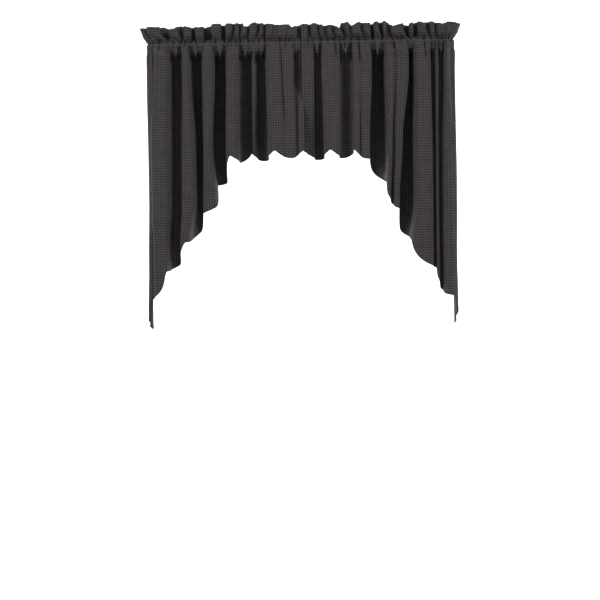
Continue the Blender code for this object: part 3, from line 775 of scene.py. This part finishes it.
def sew(name, seams):
    """Make the stitches of one panel: one stitch's rings, copied along every seam."""
    rings, count = [], 0
    for line, facing, steps in seams:
        along = np.concatenate(([0.0], np.cumsum((steps[1:] + steps[:-1]) / 2)))
        starts = np.arange(STITCH_PITCH, along[-1] - STITCH_PITCH, STITCH_PITCH)

        def at(values, places):
            return np.stack([np.interp(places, along, values[:, axis]) for axis in range(3)],
                            axis=1)

        first, last, front = at(line, starts), at(line, starts + STITCH_LENGTH), at(facing, starts)
        axis = last - first
        front /= np.linalg.norm(front, axis=1, keepdims=True)
        across = np.cross(axis, front)
        across /= np.linalg.norm(across, axis=1, keepdims=True) + 1e-9
        turns = np.arange(THREAD_SIDES) * 2 * math.pi / THREAD_SIDES
        for part, lift, width in zip(STITCH_PLACES, STITCH_LIFTS, STITCH_WIDTHS):
            centre = first + axis * part + front * (lift * THREAD_RADIUS)
            rings.append(np.stack([centre + (across * math.cos(turn) + front * math.sin(turn))
                                   * (width * THREAD_RADIUS) for turn in turns], axis=1))
        count += len(starts)
    ring_count = len(STITCH_PLACES)
    blocks = [np.stack(rings[start:start + ring_count], axis=1)
              for start in range(0, len(rings), ring_count)]
    points = np.concatenate([block.reshape(-1, 3) for block in blocks]) * MM
    one = []
    for ring in range(ring_count - 1):
        for corner in range(THREAD_SIDES):
            after = (corner + 1) % THREAD_SIDES
            low, high = ring * THREAD_SIDES, (ring + 1) * THREAD_SIDES
            one.append((low + corner, low + after, high + after, high + corner))
    starts = np.arange(count)[:, None, None] * (ring_count * THREAD_SIDES)
    sides = (np.array(one)[None] + starts).reshape(-1, 4)
    cap = np.arange(THREAD_SIDES)
    caps = np.stack((cap[::-1], cap + (ring_count - 1) * THREAD_SIDES))[None] + starts
    caps = caps.reshape(-1, THREAD_SIDES)
    mesh = bpy.data.meshes.new(name)
    mesh.from_pydata(points.tolist(), [], sides.tolist() + caps.tolist())
    mesh.shade_smooth()
    stitching = bpy.data.objects.new(name, mesh)
    bpy.context.scene.collection.objects.link(stitching)
    bpy.context.view_layer.objects.active = stitching
    stitching.select_set(True)
    bpy.ops.object.mode_set(mode="EDIT")
    bpy.ops.mesh.select_all(action="SELECT")
    bpy.ops.mesh.normals_make_consistent(inside=False)
    bpy.ops.object.mode_set(mode="OBJECT")
    stitching.select_set(False)
    return stitching


# The twist of the thread, in turns a metre
TWIST_SCALE = 900.0


def sewing_thread():
    """Spun cotton thread, dyed to match the dark yarn: matte, with a fine twist."""
    material = bpy.data.materials.new("charcoal sewing thread")
    material.use_nodes = True
    tree = material.node_tree
    shader = tree.nodes["Principled BSDF"]
    on_thread = add_node(tree, "ShaderNodeTexCoord").outputs["Object"]
    twist = add_node(tree, "ShaderNodeTexNoise",
                     inputs={"Vector": on_thread, "Scale": TWIST_SCALE, "Detail": 2.0})
    ramp = add_node(tree, "ShaderNodeValToRGB", inputs={"Fac": twist.outputs[0]})
    ramp.color_ramp.elements[0].color = srgb(DARK_YARN)
    ramp.color_ramp.elements[1].color = srgb(MIXED_YARN)
    bump = add_node(tree, "ShaderNodeBump", inputs={"Height": twist.outputs[0], "Strength": 0.4,
                                                    "Distance": 0.1 * MM})
    tree.links.new(ramp.outputs["Color"], shader.inputs["Base Color"])
    tree.links.new(bump.outputs["Normal"], shader.inputs["Normal"])
    shader.inputs["Roughness"].default_value = 0.8
    shader.inputs["Specular IOR Level"].default_value = 0.3
    return material


thread = sewing_thread()
for word, panel, seams, flat_area in hung:
    stitching = sew(word + "_stitching", seams)
    stitching.data.materials.append(thread)
    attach(stitching, "root")


# Stage, light and camera
#
# A plain pale floor that sweeps up into the wall behind, and broad soft lights from the front.

FLOOR_HEIGHT = -1.75
FLOOR_WIDTH = 14.0
FLOOR_MIDDLE = -2.0
WALL_DISTANCE = 4.4
WALL_HEIGHT = 5.0
SWEEP = 0.8
bpy.ops.object.select_all(action="DESELECT")
bpy.ops.mesh.primitive_plane_add(size=1.0, location=(0.0, FLOOR_MIDDLE, FLOOR_HEIGHT))
floor = bpy.context.object
floor.name = "floor"
floor.scale = (FLOOR_WIDTH, 2 * (WALL_DISTANCE - FLOOR_MIDDLE), 1.0)
bpy.ops.object.transform_apply(location=True, rotation=True, scale=True)
bpy.ops.object.mode_set(mode="EDIT")
bpy.ops.mesh.select_mode(type="EDGE")
bpy.ops.mesh.select_all(action="DESELECT")
bpy.ops.object.mode_set(mode="OBJECT")
for edge in floor.data.edges:
    edge.select = all(floor.data.vertices[v].co.y > WALL_DISTANCE - 0.01 for v in edge.vertices)
bpy.ops.object.mode_set(mode="EDIT")
bpy.ops.mesh.extrude_region_move(TRANSFORM_OT_translate={"value": (0.0, 0.0, WALL_HEIGHT)})
bpy.ops.object.mode_set(mode="OBJECT")
for edge in floor.data.edges:
    ends = [floor.data.vertices[v].co for v in edge.vertices]
    edge.select = all(end.y > WALL_DISTANCE - 0.01 and end.z < FLOOR_HEIGHT + 0.01 for end in ends)
bpy.ops.object.mode_set(mode="EDIT")
bpy.ops.mesh.bevel(offset=SWEEP, segments=16, affect="EDGES")
bpy.ops.object.mode_set(mode="OBJECT")
floor.data.shade_smooth()
paper = bpy.data.materials.new("matte white backdrop paper")
paper.use_nodes = True
paper.node_tree.nodes["Principled BSDF"].inputs["Base Color"].default_value = srgb("#f4f4f4")
paper.node_tree.nodes["Principled BSDF"].inputs["Roughness"].default_value = 1.0
floor.data.materials.append(paper)


def soft_light(name, stand, aim, size, power):
    """A broad area light that points at a place."""
    data = bpy.data.lights.new(name, "AREA")
    data.shape = "RECTANGLE"
    data.size, data.size_y = size
    data.energy = power
    light = bpy.data.objects.new(name, data)
    bpy.context.scene.collection.objects.link(light)
    light.location = stand
    reach = np.array(aim) - np.array(stand)
    light.rotation_euler = (math.atan2(math.hypot(reach[0], reach[1]), -reach[2]), 0.0,
                            math.atan2(-reach[0], reach[1]))


soft_light("left", (-2.9, -2.1, 1.8), (0.0, 0.0, 0.1), (1.0, 1.2), 99.0)
soft_light("right", (2.9, -2.1, 1.8), (0.0, 0.0, 0.1), (1.0, 1.2), 93.0)
soft_light("backdrop left", (-3.2, 2.0, 0.3), (0.0, WALL_DISTANCE, -0.3), (1.0, 2.4), 190.0)
soft_light("backdrop right", (3.2, 2.0, 0.3), (0.0, WALL_DISTANCE, -0.3), (1.0, 2.4), 190.0)

world = bpy.data.worlds.new("white room")
bpy.context.scene.world = world
world.use_nodes = True
world.node_tree.nodes["Background"].inputs["Color"].default_value = (1.0, 1.0, 1.0, 1.0)
world.node_tree.nodes["Background"].inputs["Strength"].default_value = 0.15
bpy.context.scene.view_settings.view_transform = "Standard"

# The camera looks straight at the wall from below the curtain, which fills the upper half of the
# frame as it does in the photo; the photo is turned one degree
CAMERA_DISTANCE = 3.6
CAMERA_SIDE = -0.0151
CAMERA_HEIGHT = -0.7675
CAMERA_TURN = math.radians(1.0)
FRAME_WIDTH = 1.812
data = bpy.data.cameras.new("camera")
data.sensor_width = 36.0
data.lens = data.sensor_width * CAMERA_DISTANCE / FRAME_WIDTH
camera = bpy.data.objects.new("camera", data)
bpy.context.scene.collection.objects.link(camera)
camera.location = (CAMERA_SIDE, -CAMERA_DISTANCE, CAMERA_HEIGHT)
camera.rotation_euler = (math.pi / 2, CAMERA_TURN, 0.0)
bpy.context.scene.camera = camera
